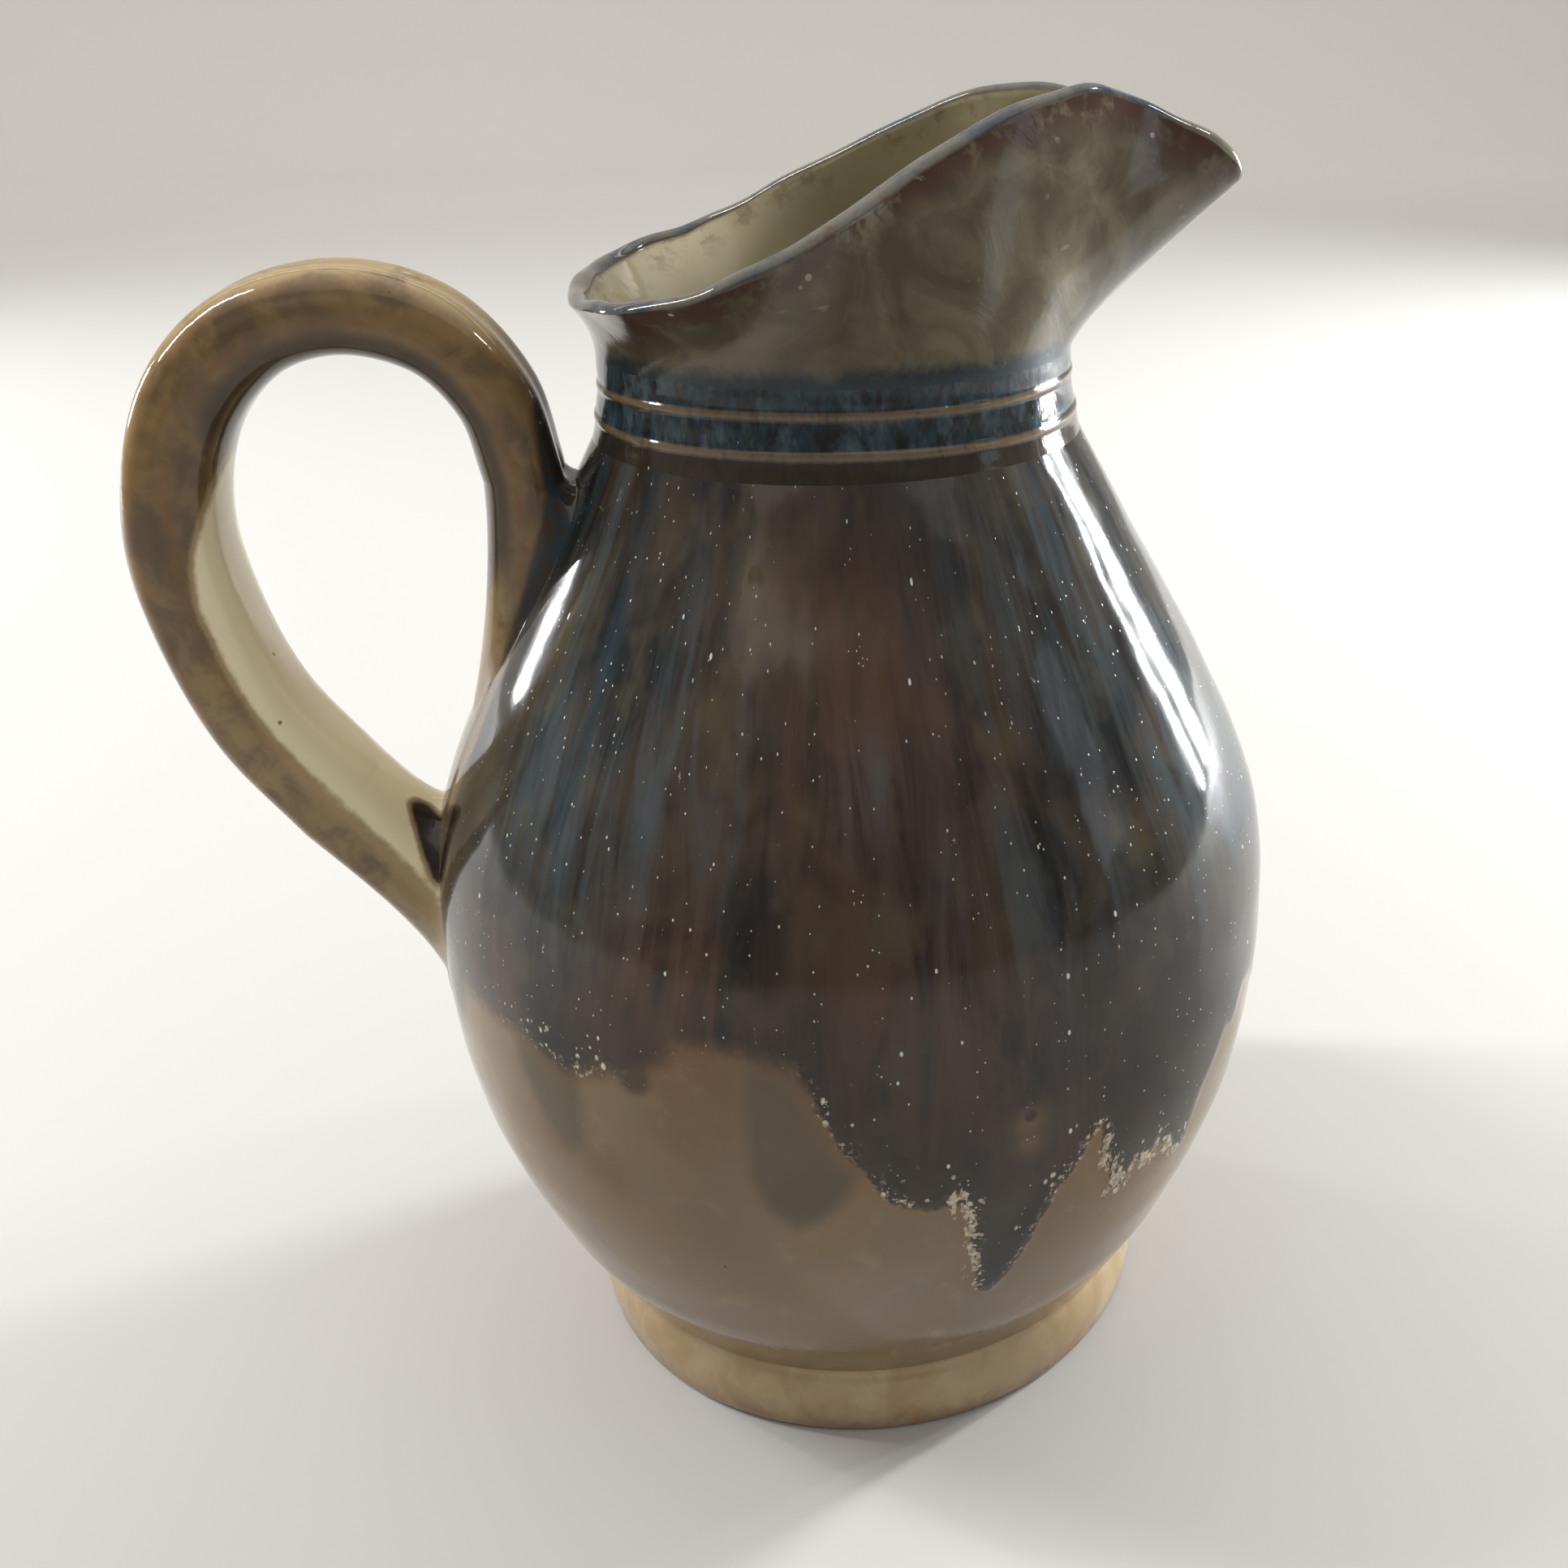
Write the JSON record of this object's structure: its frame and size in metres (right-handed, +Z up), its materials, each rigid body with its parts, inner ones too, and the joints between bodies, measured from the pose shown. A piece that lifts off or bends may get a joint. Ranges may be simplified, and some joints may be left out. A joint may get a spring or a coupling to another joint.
{
  "type": "ceramic pitcher",
  "caption": "Round-bellied glazed stoneware pitcher with a pinched high spout, a looped pulled handle, a lined neck and a low foot ring.",
  "frame": {"origin": "centre of the foot, on the surface the pitcher stands on", "axes": "+Z up along the axis of the thrown body, +X towards the spout, -X towards the handle"},
  "size_m": [0.1707, 0.1372, 0.204],
  "materials": {
    "foot_stoneware": "satin",
    "body_glaze": "gloss",
    "collar_glaze": "gloss",
    "mouth_glaze": "gloss",
    "handle_glaze": "gloss"
  },
  "bodies": {
    "root": {"foot_ring": "foot_stoneware", "body": "body_glaze", "neck_collar": "collar_glaze", "mouth_spout": "mouth_glaze", "handle": "handle_glaze", "handle_upper_joint": "handle_glaze", "handle_lower_joint": "handle_glaze"}
  },
  "joints": []
}
